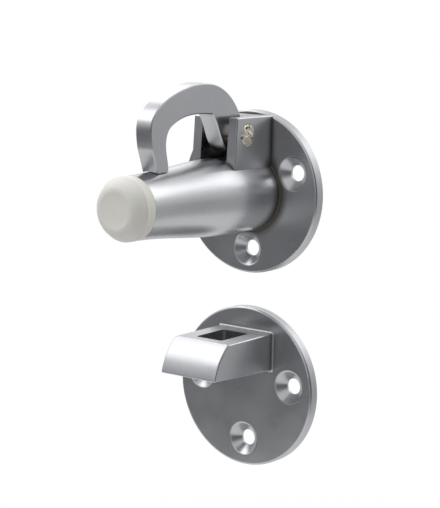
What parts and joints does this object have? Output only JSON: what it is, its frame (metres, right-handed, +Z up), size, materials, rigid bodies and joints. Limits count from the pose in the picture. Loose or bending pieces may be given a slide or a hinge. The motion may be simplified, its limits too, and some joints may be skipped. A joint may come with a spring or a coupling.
{
  "type": "wall door stop with hook",
  "caption": "Wall door stop: round plate, tapered post with rubber buffer and a drop hook on a clevis pin, with its slotted keeper plate for the door.",
  "frame": {"origin": "centre of the stop's round plate, on the wall", "axes": "+Z up the wall, -Y out of the wall along the post, +X to the right of someone facing the wall"},
  "size_m": [0.057, 0.0755, 0.1368],
  "materials": {
    "satin_chrome": "satin",
    "pin_steel": "hammered, rough",
    "buffer_rubber": "matte, off-white"
  },
  "bodies": {
    "stop": {"stop_body": "satin_chrome", "pivot_pin": "pin_steel", "buffer": "buffer_rubber", "keeper": "satin_chrome"},
    "hook": {"hook": "satin_chrome"}
  },
  "joints": [
    {"name": "hook_pivot", "type": "hinge", "parent": "stop", "child": "hook", "pos_m": [0, -0.018, 0.0213], "axis": [-1, 0, 0], "range_deg": [0, 33]}
  ]
}
